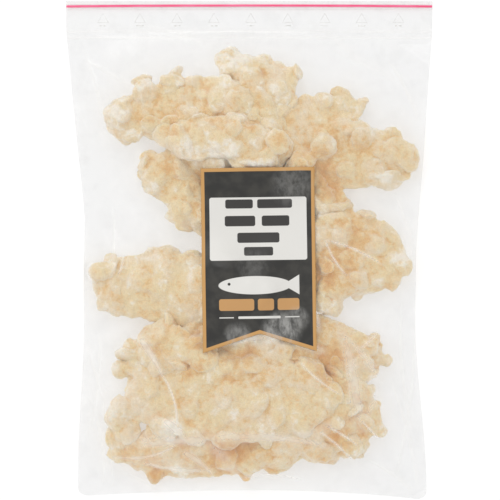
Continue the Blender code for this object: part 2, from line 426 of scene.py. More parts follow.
def bulge(nodes, spread):
    """How far each point stands out of the skin around it, averaged over some steps."""
    position = nodes.add("GeometryNodeInputPosition").outputs[0]
    around = nodes.add(
        "GeometryNodeBlurAttribute",
        {"Value": position, "Iterations": spread},
        data_type="FLOAT_VECTOR",
    )
    offset = nodes.add(
        "ShaderNodeVectorMath", {0: position, 1: around.outputs[0]}, operation="SUBTRACT"
    )
    normal = nodes.add("GeometryNodeInputNormal").outputs[0]
    out = nodes.add(
        "ShaderNodeVectorMath", {0: offset.outputs[0], 1: normal}, operation="DOT_PRODUCT"
    )
    return out.outputs["Value"]


def stored(nodes, geometry, name, value):
    inputs = {"Geometry": geometry, "Name": name, "Value": value}
    return nodes.add("GeometryNodeStoreNamedAttribute", inputs, data_type="FLOAT").outputs[0]


def make_batter_coat():
    group = new_group(
        "batter_coat",
        "GeometryNodeTree",
        {
            "Geometry": ("NodeSocketGeometry", None),
            "Voxel": ("NodeSocketFloat", 0.7 * MM),
            "Plates per m2": ("NodeSocketFloat", 4200.0),
            "Plate radius": ("NodeSocketFloat", 12.0 * MM),
            "Crumbs per m2": ("NodeSocketFloat", 5500.0),
            "Crumb radius": ("NodeSocketFloat", 6.0 * MM),
            "Roughness": ("NodeSocketFloat", 1.0 * MM),
            "Seed": ("NodeSocketInt", 1),
            "Material": ("NodeSocketMaterial", None),
        },
        {"Geometry": "NodeSocketGeometry"},
    )
    group.is_modifier = True
    nodes = Tree(group)
    given = nodes.add("NodeGroupInput").outputs
    voxel, seed = given["Voxel"], given["Seed"]

    reach = nodes.add("GeometryNodeInputNamedAttribute", {"Name": "reach"}, data_type="FLOAT")
    depth = nodes.add("GeometryNodeInputNamedAttribute", {"Name": "depth"}, data_type="FLOAT")
    round_ball = nodes.add("GeometryNodeMeshIcoSphere", {"Radius": 1.0, "Subdivisions": 4})
    small_ball = nodes.add("GeometryNodeMeshIcoSphere", {"Radius": 1.0, "Subdivisions": 2})
    scale = nodes.add(
        "ShaderNodeCombineXYZ",
        {"X": reach.outputs[0], "Y": reach.outputs[0], "Z": depth.outputs[0]},
    )
    balls = nodes.add(
        "GeometryNodeInstanceOnPoints",
        {"Points": given["Geometry"], "Instance": round_ball.outputs[0], "Scale": scale.outputs[0]},
    )
    fish = nodes.add("GeometryNodeRealizeInstances", {"Geometry": balls.outputs[0]}).outputs[0]
    core = melted(nodes, [fish], nodes.math("MULTIPLY", voxel, 2.0))

    coat = [core]
    for density, radius, smallest, flatness in (
        ("Plates per m2", "Plate radius", 0.45, 0.37),
        ("Crumbs per m2", "Crumb radius", 0.3, 0.55),
    ):
        least = nodes.math("MULTIPLY", given[radius], smallest)
        sizes = (least, given[radius], flatness)
        ball = small_ball.outputs[0]
        coat.append(scattered_balls(nodes, core, given[density], *sizes, seed, ball))
    skin = melted(nodes, coat, voxel)
    position = nodes.add("GeometryNodeInputPosition").outputs[0]
    settled = nodes.add(
        "GeometryNodeBlurAttribute", {"Value": position, "Iterations": 8}, data_type="FLOAT_VECTOR"
    )
    inputs = {"Geometry": skin, "Position": settled.outputs[0]}
    skin = nodes.add("GeometryNodeSetPosition", inputs).outputs[0]

    for size, share in ((12 * MM, 1.4), (4.5 * MM, 0.65), (1.4 * MM, 0.2)):
        reach = nodes.math("MULTIPLY", given["Roughness"], share)
        offset = noise_offset(nodes, size, reach, seed)
        skin = nodes.add("GeometryNodeSetPosition", {"Geometry": skin, "Offset": offset}).outputs[0]

    position = nodes.add("GeometryNodeInputPosition").outputs[0]
    place = nodes.add("ShaderNodeSeparateXYZ", {0: position})
    lifted = nodes.math("MAXIMUM", place.outputs["Z"], LOWEST_BATTER)
    rested = nodes.add(
        "ShaderNodeCombineXYZ", {"X": place.outputs["X"], "Y": place.outputs["Y"], "Z": lifted}
    )
    skin = nodes.add(
        "GeometryNodeSetPosition", {"Geometry": skin, "Position": rested.outputs[0]}
    ).outputs[0]

    skin = stored(nodes, skin, "knob", bulge(nodes, 8))
    skin = stored(nodes, skin, "swell", bulge(nodes, 60))
    skin = nodes.add("GeometryNodeSetShadeSmooth", {"Geometry": skin}).outputs[0]
    skin = nodes.add("GeometryNodeSetMaterial", {"Geometry": skin, "Material": given["Material"]})
    nodes.add("NodeGroupOutput", {"Geometry": skin.outputs[0]})
    return group


# %% [markdown]
# Batter that has only been par-fried is the colour of cream, and its tint wanders between yellow
# and peach over a couple of centimetres. It is palest on its knobs and tan to light brown in the
# hollows, partly because the oil stays there and partly as painted shade where the hollows lie in
# shadow. The two noted attributes give the knobs and hollows, and soft noise gives the rest. The
# edges that turn away from the camera are painted paler still: painted light in place of the light
# that passes through thin batter, which also takes out their shade.


# %% Batter material
def make_batter():
    material, nodes, shader = new_material("batter")
    place = nodes.add("ShaderNodeTexCoord").outputs["Object"]

    def noise(size, detail=3.0):
        inputs = {"Vector": place, "Scale": 1.0 / size, "Detail": detail, "Roughness": 0.6}
        return nodes.add("ShaderNodeTexNoise", inputs).outputs[0]

    # Knobs painted paler and hollows darker: partly the batter's own tone, partly painted shade in
    # the hollows.
    knob = nodes.add("ShaderNodeAttribute", attribute_name="knob").outputs["Fac"]
    swell = nodes.add("ShaderNodeAttribute", attribute_name="swell").outputs["Fac"]
    near = nodes.math("MULTIPLY", knob, 1.0 / (1.1 * MM))
    wide = nodes.math("MULTIPLY", swell, 1.0 / (3.2 * MM))
    browning_and_shade = nodes.add("ShaderNodeAttribute", attribute_name="browning_and_shade").outputs["Fac"]
    wander = nodes.math("MULTIPLY", nodes.math("SUBTRACT", noise(13 * MM, 5.0), 0.5), 4.8)
    relief_shade = nodes.math("MINIMUM", nodes.math("ADD", near, wide), 0.45)
    level = nodes.math("ADD", relief_shade, nodes.math("SUBTRACT", wander, browning_and_shade))

    cream, pale = from_srgb(240, 219, 175), from_srgb(251, 241, 225)
    honey, tan = from_srgb(236, 201, 143), from_srgb(222, 167, 99)
    tint = nodes.between(noise(24 * MM), 0.42, 0.62)
    middle = nodes.mix(tint, cream, from_srgb(239, 218, 183))
    low = nodes.mix(nodes.between(level, -2.2, -0.4), tan, honey)
    colour = nodes.mix(nodes.between(level, -0.9, 0.1), low, middle)
    colour = nodes.mix(nodes.between(level, 0.1, 1.2), colour, pale)
    # Painted light: the batter is painted paler where it turns away from the camera, in place of
    # light through the thin edges and to take out their shade.
    facing = nodes.add("ShaderNodeLayerWeight", {"Blend": 0.5}).outputs["Facing"]
    rim = nodes.math("MULTIPLY", nodes.math("POWER", facing, 1.1), 0.9)
    colour = nodes.mix(rim, colour, pale)
    grain = nodes.between(noise(0.9 * MM, 2.0), 0.35, 0.65, 0.93, 1.04)
    grey = nodes.add("ShaderNodeCombineColor", {0: grain, 1: grain, 2: grain}).outputs[0]
    colour = nodes.mix(1.0, colour, grey, blend="MULTIPLY")

    bump = nodes.add(
        "ShaderNodeBump", {"Strength": 0.65, "Distance": 0.4 * MM, "Height": noise(1.6 * MM, 5.0)}
    )
    rough = nodes.between(level, -0.5, 0.6, 0.5, 0.68)
    links = nodes.tree.links
    links.new(colour, shader.inputs["Base Color"])
    links.new(rough, shader.inputs["Roughness"])
    links.new(bump.outputs[0], shader.inputs["Normal"])
    shader.inputs["Subsurface Weight"].default_value = 0.3
    shader.inputs["Subsurface Radius"].default_value = (1.0, 0.8, 0.65)
    shader.inputs["Subsurface Scale"].default_value = 3.0 * MM
    return material


# %% [markdown]
# Oil collects in some clefts and browns them, and a few knobs stay paler than the rest. Where
# one fillet lies over another, the lower one is in shadow, and that is painted in as browned spots
# too, so part of the browning is painted shade. Noise can't know where those are, so the larger
# ones are listed: each is a soft round patch in plan that adds to the browning of whatever batter
# lies there, or takes from it.

# %% Browned clefts and pale knobs
# Across, along, radius in millimetres, and how strong.
# Browned spots: partly browner batter, partly painted shade where one fillet shades another.
BROWNED_AND_SHADED = [
    (0.20, 0.76, 4, 1.6), (0.27, 0.78, 14, 0.6), (0.30, 0.74, 10, 0.6), (0.46, 0.81, 12, 0.6),
    (0.53, 0.85, 4, 1.4), (0.49, 0.83, 6, 0.6), (0.44, 0.73, 12, 0.7), (0.51, 0.74, 5, 0.8),
    (0.37, 0.81, 8, 0.4), (0.60, 0.71, 9, 1.1), (0.71, 0.65, 14, 1.2), (0.71, 0.62, 9, 0.6),
    (0.24, 0.67, 6, 0.6), (0.28, 0.66, 5, 0.8), (0.34, 0.65, 8, 0.5), (0.80, 0.55, 4, 0.8),
    (0.76, 0.54, 7, 0.7), (0.74, 0.50, 8, 0.7), (0.87, 0.48, 4, 0.5), (0.84, 0.51, 8, 0.4),
    (0.71, 0.45, 10, 1.4), (0.09, 0.45, 6, 0.4), (0.34, 0.39, 12, 0.6), (0.25, 0.33, 9, 1.1),
    (0.36, 0.32, 8, 1.1), (0.44, 0.31, 5, 1.3), (0.49, 0.26, 12, 0.9), (0.45, 0.29, 7, 0.8),
    (0.50, 0.29, 6, 1.0), (0.57, 0.29, 6, 0.7), (0.61, 0.31, 10, 0.8), (0.72, 0.33, 12, 0.8),
    (0.71, 0.27, 9, 1.1), (0.71, 0.23, 10, 0.9), (0.26, 0.27, 4, 0.9), (0.37, 0.27, 4, 0.9),
    (0.33, 0.26, 14, 0.7), (0.24, 0.20, 10, 0.4), (0.42, 0.20, 10, 0.4), (0.64, 0.16, 7, 0.5),
    (0.81, 0.16, 6, 0.4), (0.72, 0.14, 10, 0.8), (0.34, 0.12, 8, 0.8), (0.48, 0.12, 10, 1.3),
    (0.43, 0.10, 10, 1.5), (0.75, 0.11, 6, 0.6), (0.24, 0.05, 6, 1.2),
]
PALE = [
    (0.45, 0.88, 14, 0.9), (0.52, 0.88, 9, 0.9), (0.61, 0.83, 8, 0.6), (0.24, 0.83, 9, 0.7),
    (0.69, 0.79, 14, 0.6), (0.14, 0.77, 10, 0.3), (0.32, 0.75, 4, 0.9), (0.18, 0.73, 6, 0.8),
    (0.84, 0.74, 10, 0.8), (0.34, 0.70, 6, 1.0), (0.42, 0.69, 12, 1.1), (0.87, 0.64, 8, 0.7),
    (0.27, 0.59, 9, 0.6), (0.71, 0.57, 8, 1.0), (0.31, 0.46, 15, 0.7), (0.90, 0.49, 12, 0.9),
    (0.71, 0.39, 8, 0.8), (0.47, 0.32, 6, 1.3), (0.56, 0.33, 6, 1.3), (0.63, 0.34, 5, 1.0),
    (0.15, 0.31, 8, 0.7), (0.30, 0.30, 7, 0.6), (0.13, 0.26, 8, 0.6), (0.84, 0.23, 10, 1.2),
    (0.76, 0.22, 6, 0.6), (0.13, 0.16, 9, 0.8), (0.47, 0.17, 15, 0.4), (0.69, 0.18, 6, 0.5),
    (0.29, 0.15, 6, 1.7), (0.86, 0.14, 10, 1.0), (0.79, 0.09, 7, 0.7), (0.62, 0.10, 12, 0.8),
    (0.13, 0.09, 6, 0.5), (0.31, 0.06, 9, 1.0), (0.48, 0.06, 7, 0.7),
]


def coordinates(mesh):
    """x, y and z of a mesh's vertices, as three rows."""
    co = np.empty(len(mesh.vertices) * 3)
    mesh.vertices.foreach_get("co", co)
    return co.reshape(-1, 3).T


def browning_and_shade_at(x, y, base):
    """How brown the batter is at places in plan, painted shade included where fillets shade each
    other.
    """
    browning_and_shade = np.full_like(x, base)
    for patches, sign in ((BROWNED_AND_SHADED, 1), (PALE, -1)):
        for across, along, radius, strength in patches:
            middle = at(across, along)
            off = np.hypot(x - middle.x, y - middle.y) / (radius * MM)
            browning_and_shade += sign * strength * np.exp(-(off**2))
    return browning_and_shade


print("patches:", len(BROWNED_AND_SHADED), "browned and", len(PALE), "pale")


# %% Grow the fillets
def set_input(modifier, name, value):
    """Sets a Geometry Nodes input by its socket's identifier, found by its name."""
    for item in modifier.node_group.interface.items_tree:
        if item.item_type == "SOCKET" and item.in_out == "INPUT" and item.name == name:
            modifier[item.identifier] = value
            return
    raise KeyError(name)


def applied(maker, name):
    """The maker object's evaluated shape as a plain mesh object. The maker is removed."""
    evaluated = maker.evaluated_get(bpy.context.evaluated_depsgraph_get())
    mesh = bpy.data.meshes.new_from_object(evaluated)
    mesh.name = name
    bpy.data.objects.remove(maker)
    piece = bpy.data.objects.new(name, mesh)
    scene.collection.objects.link(piece)
    return piece


batter_coat = make_batter_coat()
batter = make_batter()
VOXEL = 0.7 * MM

fillets = []
for number, (name, plan) in enumerate(FILLETS.items()):
    skeleton = fillet_skeleton("skeleton", plan["spine"], plan["lobes"])
    coat = skeleton.modifiers.new("batter_coat", "NODES")
    coat.node_group = batter_coat
    set_input(coat, "Voxel", VOXEL)
    set_input(coat, "Seed", 11 + 5 * number)
    set_input(coat, "Material", batter)
    fillet = applied(skeleton, "fillet_" + name)
    x, y, _ = coordinates(fillet.data)
    # This map carries painted shade from the shaded spots as well as the batter's browning.
    browning_and_shade = browning_and_shade_at(x, y, plan["browning_and_shade"])
    fillet.data.attributes.new("browning_and_shade", "FLOAT", "POINT").data.foreach_set("value", browning_and_shade)
    fillets.append(fillet)
    print(fillets[-1].name, "has", len(fillets[-1].data.polygons), "faces")

# %% [markdown]
# ## The film
#
# The bag is two sheets of thin film, welded to each other along the sides and the foot. The
# upper sheet rests on the highest knobs and spans the hollows like a tent, and the lower one
# lies on the table. Cloth simulation could drape them, but a film this thin over a shape this
# rough needs a very fine mesh and many steps. A stretched sheet has a simple rule instead:
# each point lies at the mean height of its neighbours, unless something holds it up. Repeated
# over a grid, the rule drapes the sheet in a few seconds.
#
# The grid's edges come from cuts through the frame's own bag, so the film has its outline.

# %% The outline of the bag, from the frame
OUTLINE_CUTS = 90
bag_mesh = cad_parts["bag"].data
bag_points = np.array([vertex.co[:] for vertex in bag_mesh.vertices])
bag_edges = bag_points[np.array([edge.vertices[:] for edge in bag_mesh.edges])]


def outline(along_axis, pick, first_share, last_share):
    """Places along one axis, and how far the bag reaches there on the other, cut by cut."""
    start, end = bag_edges[:, 0], bag_edges[:, 1]
    run = end[:, along_axis] - start[:, along_axis]
    low, high = bag_points[:, along_axis].min(), bag_points[:, along_axis].max()
    places = low + (high - low) * np.linspace(first_share, last_share, OUTLINE_CUTS)
    reach = []
    for place in places:
        share = (place - start[:, along_axis]) / np.where(np.abs(run) < 1e-9, 1.0, run)
        cut = (np.abs(run) > 1e-9) & (share >= 0.0) & (share <= 1.0)
        across = start[:, 1 - along_axis] + share * (end - start)[:, 1 - along_axis]
        reach.append(pick(across[cut]))
    return places, np.array(reach)


left_edge = outline(1, np.min, 0.03, 0.999)
right_edge = outline(1, np.max, 0.03, 0.999)
foot_edge = outline(0, np.min, 0.06, 0.955)
CORNER = 5.5 * MM


def side_edges(along):
    """x of the left and the right edge at a share of the length, with the round foot corners."""
    level = bag_low.y + along * BAG_LENGTH
    below = np.clip(1.0 - along * BAG_LENGTH / CORNER, 0.0, 1.0)
    inset = CORNER * (1.0 - np.sqrt(1.0 - below**2))
    return np.interp(level, *left_edge) + inset, np.interp(level, *right_edge) - inset


def grid_to_plan(across, along):
    """x and y of the film at shares of the sheet: across from the left, along from the foot."""
    left, right = side_edges(along)
    x = left + (right - left) * across
    foot = np.interp(x, *foot_edge)
    return x, foot + (bag_high.y - foot) * along


def plan_to_grid(x, y):
    """The shares of the sheet at which a point of the plan lies."""
    foot = np.interp(x, *foot_edge)
    along = (y - foot) / (bag_high.y - foot)
    left, right = side_edges(along)
    return (x - left) / (right - left), along


print("waist:", round(float(right_edge[1].min() - left_edge[1].max()), 4), "m")

# %% [markdown]
# Each fillet's points are dropped into the grid's cells, which gives the heights that hold the
# upper sheet up and the heights that press the lower one down. The two sheets then settle
# together, because a seam hangs halfway between them.

# %% Drape the two sheets
CELL = 1.0 * MM
COLUMNS = round(BAG_WIDTH / CELL) + 1
ROWS = round(BAG_LENGTH / CELL) + 1
SETTLING_STEPS = 1400
FILM_GAP = 0.35 * MM
SLACKNESS = 9.0  # how strongly unheld film curves down, per metre
SAG = SLACKNESS * CELL * CELL / 4
HEADER = 22.0 * MM
SHEET_THICKNESS = 0.15 * MM

sheet_across, sheet_along = np.meshgrid(np.linspace(0, 1, COLUMNS), np.linspace(0, 1, ROWS))
sheet_x, sheet_y = grid_to_plan(sheet_across, sheet_along)


def widened(heights, pick):
    """Every cell takes the highest, or lowest, of itself and its neighbours."""
    padded = np.pad(heights, 1, mode="edge")
    rows, columns = heights.shape
    shifts = [padded[r : r + rows, c : c + columns] for r in range(3) for c in range(3)]
    return pick.reduce(shifts)


def heights_of_contents():
    """The highest and lowest point of the fillets in each cell of the grid."""
    top = np.full((ROWS, COLUMNS), -1.0)
    bottom = np.full((ROWS, COLUMNS), 1.0)
    clearance = []
    for fillet in fillets:
        x, y, z = coordinates(fillet.data)
        across, along = plan_to_grid(x, y)
        clearance.append(min(across.min(), 1.0 - across.max(), along.min()))
        column = np.clip(np.rint(across * (COLUMNS - 1)), 0, COLUMNS - 1).astype(int)
        row = np.clip(np.rint(along * (ROWS - 1)), 0, ROWS - 1).astype(int)
        np.maximum.at(top, (row, column), z)
        np.minimum.at(bottom, (row, column), z)
    print("closest to a seam:", round(min(clearance) * BAG_WIDTH / MM, 1), "mm")
    return widened(top, np.maximum), widened(bottom, np.minimum)


def mean_of_neighbours(heights):
    return (heights[:-2, 1:-1] + heights[2:, 1:-1] + heights[1:-1, :-2] + heights[1:-1, 2:]) / 4


def settle(held_up, held_down):
    """The upper and the lower sheet's heights, at rest."""
    upper = np.maximum(held_up, SHEET_THICKNESS)
    lower = np.zeros_like(upper)
    header = sheet_y > bag_high.y - HEADER
    inner = np.s_[1:-1, 1:-1]
    for _ in range(SETTLING_STEPS):
        upper[inner] = mean_of_neighbours(upper) - SAG
        upper = np.maximum(upper, held_up)
        lower[inner] = mean_of_neighbours(lower) - SAG
        lower = np.clip(lower, 0.0, held_down)
        middle = (upper + lower) / 2
        for seam, beside in ((np.s_[:, 0], 1), (np.s_[:, -1], -2)):
            upper[seam] = np.maximum(middle[:, beside], 0.0)
            lower[seam] = upper[seam]
        upper[0] = lower[0] = np.maximum(middle[1], 0.0)
        upper = np.where(header, 2 * SHEET_THICKNESS, np.maximum(upper, lower))
        lower = np.where(header, 0.0, lower)
    return upper, lower


contents_top, contents_bottom = heights_of_contents()
upper, lower = settle(contents_top + FILM_GAP, np.maximum(contents_bottom - FILM_GAP, 0.0))
print("the film reaches", round(float(upper.max()) / MM, 1), "mm above the table")

# %% [markdown]
# Film that has been handled is creased, and stretched film gathers in thin ridges between the
# points that hold it. Each crease here is a stroke from one point to another with a bow to one
# side: a narrow ridge in the sheet, and a whitish mark along it that is partly the film's
# whitening where it was bent and partly a painted highlight on the ridge. Wide, flat strokes
# are smears of haze where the film clings to the batter, partly painted soft highlights.

# %% Creases
# Across and along at both ends, bow sideways as a share of the length, half width at both ends
# and height in millimetres, and how white the mark is, partly whitened film and partly painted
# highlight.
CREASES = [
    (0.205, 0.325, 0.268, 0.247, 0.04, 3.4, 1.2, 0.4, 0.34),
    (0.262, 0.258, 0.307, 0.150, 0.08, 0.7, 0.4, 0.5, 0.42),
    (0.270, 0.165, 0.325, 0.125, 0.05, 3.0, 4.0, 0.3, 0.28),
    (0.705, 0.520, 0.762, 0.450, -0.06, 0.7, 0.5, 0.5, 0.42),
    (0.705, 0.520, 0.860, 0.470, 0.05, 0.7, 0.5, 0.4, 0.30),
    (0.640, 0.275, 0.742, 0.215, -0.04, 0.9, 0.5, 0.4, 0.38),
    (0.690, 0.140, 0.775, 0.085, 0.03, 0.7, 0.5, 0.4, 0.40),
    (0.705, 0.152, 0.790, 0.113, 0.03, 0.6, 0.6, 0.4, 0.42),
    (0.800, 0.163, 0.848, 0.127, 0.00, 0.7, 0.5, 0.4, 0.38),
    (0.748, 0.340, 0.860, 0.238, 0.02, 1.0, 4.0, 0.0, 0.20),
    (0.752, 0.340, 0.800, 0.150, 0.02, 3.0, 6.5, 0.0, 0.24),
    (0.740, 0.340, 0.775, 0.160, 0.03, 0.7, 0.6, 0.4, 0.22),
    (0.850, 0.240, 0.800, 0.150, 0.05, 4.5, 2.5, 0.0, 0.16),
    (0.200, 0.108, 0.400, 0.120, 0.05, 2.5, 5.0, 0.2, 0.26),
    (0.380, 0.125, 0.720, 0.108, 0.05, 5.0, 2.0, 0.2, 0.24),
    (0.130, 0.088, 0.310, 0.116, -0.10, 1.5, 1.0, 0.3, 0.28),
    (0.196, 0.080, 0.400, 0.062, -0.04, 1.0, 2.5, 0.3, 0.26),
    (0.320, 0.100, 0.400, 0.052, 0.06, 3.5, 1.0, 0.2, 0.28),
    (0.480, 0.046, 0.640, 0.042, 0.06, 1.2, 0.8, 0.3, 0.30),
    (0.160, 0.485, 0.145, 0.450, 0.05, 1.0, 0.8, 0.4, 0.28),
    (0.850, 0.340, 0.790, 0.300, 0.05, 1.0, 1.8, 0.3, 0.22),
    (0.660, 0.400, 0.690, 0.340, 0.05, 1.4, 2.0, 0.3, 0.26),
    (0.560, 0.345, 0.700, 0.300, -0.05, 2.0, 3.0, 0.2, 0.26),
    (0.430, 0.315, 0.560, 0.325, 0.05, 2.5, 3.0, 0.2, 0.24),
    (0.130, 0.115, 0.420, 0.118, 0.04, 6.0, 6.0, 0.0, 0.17),
    (0.150, 0.080, 0.360, 0.070, 0.03, 6.0, 5.0, 0.0, 0.14),
    (0.360, 0.140, 0.470, 0.045, 0.05, 5.0, 4.0, 0.0, 0.16),
    (0.620, 0.120, 0.780, 0.160, 0.05, 6.0, 4.0, 0.0, 0.13),
    (0.120, 0.210, 0.300, 0.140, 0.05, 7.0, 5.0, 0.0, 0.12),
    (0.450, 0.325, 0.600, 0.310, 0.05, 5.0, 4.0, 0.0, 0.14),
    (0.130, 0.580, 0.120, 0.400, 0.03, 0.8, 1.8, 0.5, 0.10),
    (0.095, 0.330, 0.060, 0.120, 0.04, 0.8, 1.8, 0.5, 0.10),
    (0.060, 0.300, 0.130, 0.030, 0.05, 0.8, 1.5, 0.5, 0.12),
    (0.060, 0.210, 0.100, 0.020, 0.08, 0.8, 1.5, 0.5, 0.10),
    (0.140, 0.060, 0.260, 0.016, 0.05, 0.8, 1.5, 0.5, 0.12),
    (0.915, 0.400, 0.945, 0.140, -0.04, 0.8, 2.0, 0.5, 0.12),
    (0.950, 0.330, 0.900, 0.050, 0.03, 0.8, 1.5, 0.5, 0.12),
    (0.880, 0.250, 0.960, 0.030, 0.03, 0.8, 2.0, 0.5, 0.10),
    (0.820, 0.080, 0.940, 0.020, 0.05, 0.8, 1.5, 0.5, 0.12),
    (0.890, 0.620, 0.950, 0.480, 0.03, 0.8, 2.0, 0.5, 0.10),
    (0.050, 0.880, 0.160, 0.830, 0.04, 0.8, 2.0, 0.5, 0.10),
    (0.040, 0.920, 0.120, 0.700, 0.03, 0.8, 2.5, 0.5, 0.08),
    (0.880, 0.880, 0.960, 0.760, 0.04, 0.8, 2.0, 0.5, 0.10),
    (0.720, 0.900, 0.900, 0.840, 0.03, 0.8, 3.0, 0.4, 0.08),
    (0.200, 0.950, 0.420, 0.905, 0.03, 1.0, 3.0, 0.4, 0.08),
    (0.660, 0.960, 0.800, 0.880, 0.03, 1.0, 3.0, 0.4, 0.08),
]


def add_creases(sheet):
    """The sheet with its ridges, and their whiteness: partly whitened film, partly painted
    highlight.
    """
    crease_white_and_highlight = np.zeros_like(sheet)
    for across_0, along_0, across_1, along_1, bow, width_0, width_1, height, white in CREASES:
        start, end = at(across_0, along_0), at(across_1, along_1)
        run = (end - start).to_2d()
        length = run.length
        forward = ((sheet_x - start.x) * run.x + (sheet_y - start.y) * run.y) / length
        sideways = ((sheet_y - start.y) * run.x - (sheet_x - start.x) * run.y) / length
        share = np.clip(forward / length, 0.0, 1.0)
        past = np.maximum(np.abs(forward - length / 2) - length / 2, 0.0)
        off = np.hypot(sideways - bow * length * 4 * share * (1.0 - share), past)
        width = np.maximum(width_0 + (width_1 - width_0) * share, CELL / MM * 0.7) * MM
        profile = np.exp(-((off / width) ** 2)) * (0.3 + 0.7 * np.sin(math.pi * share) ** 0.5)
        sheet = sheet + height * MM * profile
        crease_white_and_highlight = np.maximum(crease_white_and_highlight, white * profile)
    return sheet, crease_white_and_highlight


# The straight lines across the header: millimetres from the zip end.
HEADER_LINES = (5.8, 21.6, 25.8)
LINE_HALF_WIDTH, LINE_HEIGHT, LINE_WHITENESS = 0.7 * MM, 0.25 * MM, 0.12

upper, crease_white_and_highlight = add_creases(upper)
for back in HEADER_LINES:
    ridge = np.exp(-(((bag_high.y - sheet_y - back * MM) / LINE_HALF_WIDTH) ** 2))
    upper = upper + LINE_HEIGHT * ridge
    crease_white_and_highlight = np.maximum(crease_white_and_highlight, LINE_WHITENESS * ridge)
print("creases:", len(CREASES))


# %% The sheets as meshes
def sheet_piece(name, heights, whiteness, every=1, underside=False):
    """A grid of film at the given heights. every skips rows and columns for a coarser sheet."""
    rows = np.unique(np.append(np.arange(0, ROWS, every), ROWS - 1))
    columns = np.unique(np.append(np.arange(0, COLUMNS, every), COLUMNS - 1))
    grid = bmesh.new()
    bmesh.ops.create_grid(grid, x_segments=len(columns) - 1, y_segments=len(rows) - 1, size=0.5)
    mesh = bpy.data.meshes.new(name)
    grid.to_mesh(mesh)
    grid.free()
    x, y, _ = coordinates(mesh)
    column = columns[np.rint((x + 0.5) * (len(columns) - 1)).astype(int)]
    row = rows[np.rint((y + 0.5) * (len(rows) - 1)).astype(int)]
    place = np.stack([sheet_x[row, column], sheet_y[row, column], heights[row, column]], axis=1)
    mesh.vertices.foreach_set("co", place.ravel())
    mesh.attributes.new("crease_white_and_highlight", "FLOAT", "POINT").data.foreach_set("value", whiteness[row, column])
    if underside:
        mesh.flip_normals()
    mesh.shade_smooth()
    mesh.update()
    piece = bpy.data.objects.new(name, mesh)
    scene.collection.objects.link(piece)
    return piece


# %% [markdown]
# Clear film is seen in three ways. It mirrors a little, more at a glancing angle, which is
# Fresnel. It is faintly milky, more where it is creased, and there the white is partly a painted
# highlight. And the rest of the light passes.
# One Principled shader does all three: Alpha is how much doesn't pass, and Metallic is the
# share of that which is mirrored, so that the remainder is the white of the haze. A real
# refracting film would need thickness and many bounces for the same picture.
#
# Fresnel takes the back of a face for the inside of solid glass, where it mirrors far more. A
# sheet has no such side, so the index is turned over there, which cancels it. And film this
# thin casts hardly a shadow, so it lets most of the rays through that look for a light.


# %% Film material
FILM_INDEX = 1.5
LET_THROUGH = 0.85  # the share of its shadow that so thin a film doesn't cast


def make_film():
    material, nodes, shader = new_material("clear_film")
    place = nodes.add("ShaderNodeTexCoord").outputs["Object"]
    noise = nodes.add(
        "ShaderNodeTexNoise", {"Vector": place, "Scale": 1 / (14 * MM), "Detail": 4.0}
    ).outputs[0]
    fine = nodes.add(
        "ShaderNodeTexNoise", {"Vector": place, "Scale": 1 / (5 * MM), "Detail": 3.0}
    ).outputs[0]
    inside = nodes.add("ShaderNodeNewGeometry").outputs["Backfacing"]
    index = nodes.math("MULTIPLY_ADD", inside, 1.0 / FILM_INDEX - FILM_INDEX, FILM_INDEX)
    fresnel = nodes.add("ShaderNodeFresnel", {"IOR": index}).outputs[0]
    facing = nodes.add("ShaderNodeLayerWeight", {"Blend": 0.5}).outputs["Facing"]
    marked = nodes.add("ShaderNodeAttribute", attribute_name="crease_white_and_highlight").outputs["Fac"]
    smear = nodes.between(noise, 0.45, 0.7, 0.0, 0.03)
    rim = nodes.math("MULTIPLY", nodes.math("POWER", facing, 3.0), 0.25)
    # The crease marks whiten the film: partly whitened film, partly a painted highlight along the
    # ridges.
    white_and_highlight_marks = nodes.math("MULTIPLY", marked, nodes.between(fine, 0.35, 0.65, 1.2, 1.6))
    milk = nodes.math("ADD", nodes.math("ADD", smear, 0.07), nodes.math("ADD", white_and_highlight_marks, rim))
    past_milk, past_mirror = (nodes.math("SUBTRACT", 1.0, share) for share in (milk, fresnel))
    passing = nodes.math("MULTIPLY", past_milk, past_mirror)
    alpha = nodes.math("SUBTRACT", 1.0, passing, clamp=True)
    mirrored = nodes.math("DIVIDE", fresnel, alpha, clamp=True)
    shadow = nodes.add("ShaderNodeLightPath").outputs["Is Shadow Ray"]
    direct = nodes.math("SUBTRACT", 1.0, nodes.math("MULTIPLY", shadow, LET_THROUGH))
    alpha = nodes.math("MULTIPLY", alpha, direct)
    inputs = {"Vector": place, "Scale": 1 / (6 * MM), "Detail": 3.0, "Distortion": 0.8}
    crinkle = nodes.add("ShaderNodeTexNoise", inputs).outputs[0]
    bump = nodes.add("ShaderNodeBump", {"Strength": 0.35, "Distance": 1.0 * MM, "Height": crinkle})
    links = nodes.tree.links
    links.new(alpha, shader.inputs["Alpha"])
    links.new(mirrored, shader.inputs["Metallic"])
    links.new(bump.outputs[0], shader.inputs["Normal"])
    links.new(nodes.between(noise, 0.3, 0.7, 0.1, 0.2), shader.inputs["Roughness"])
    white_share = nodes.math("DIVIDE", white_and_highlight_marks, milk, clamp=True)
    colour = nodes.mix(white_share, from_srgb(205, 205, 204), from_srgb(250, 248, 243))
    links.new(colour, shader.inputs["Base Color"])
    return material


clear_film = make_film()
film_front = sheet_piece("film_front", upper, crease_white_and_highlight)
film_back = sheet_piece("film_back", lower, np.zeros_like(crease_white_and_highlight), every=2, underside=True)
for film in (film_front, film_back):
    film.data.materials.append(clear_film)
    print(film.name, "has", len(film.data.polygons), "faces")

# %% [markdown]
# ## The label
#
# A paper label with a swallow tail is stuck on the film. It is stiffer than the film, so it
# bridges the small hollows and only follows the large swellings. Its sheet is a grid cut to
# the tail. The print is worked out in the shader from the sheet's own UV map, where a unit is
# the label's length: fields of colour, a gold edge that keeps its width along the tail, and
# bars where the lines of print stand. It needs no picture, and its edges stay sharp.

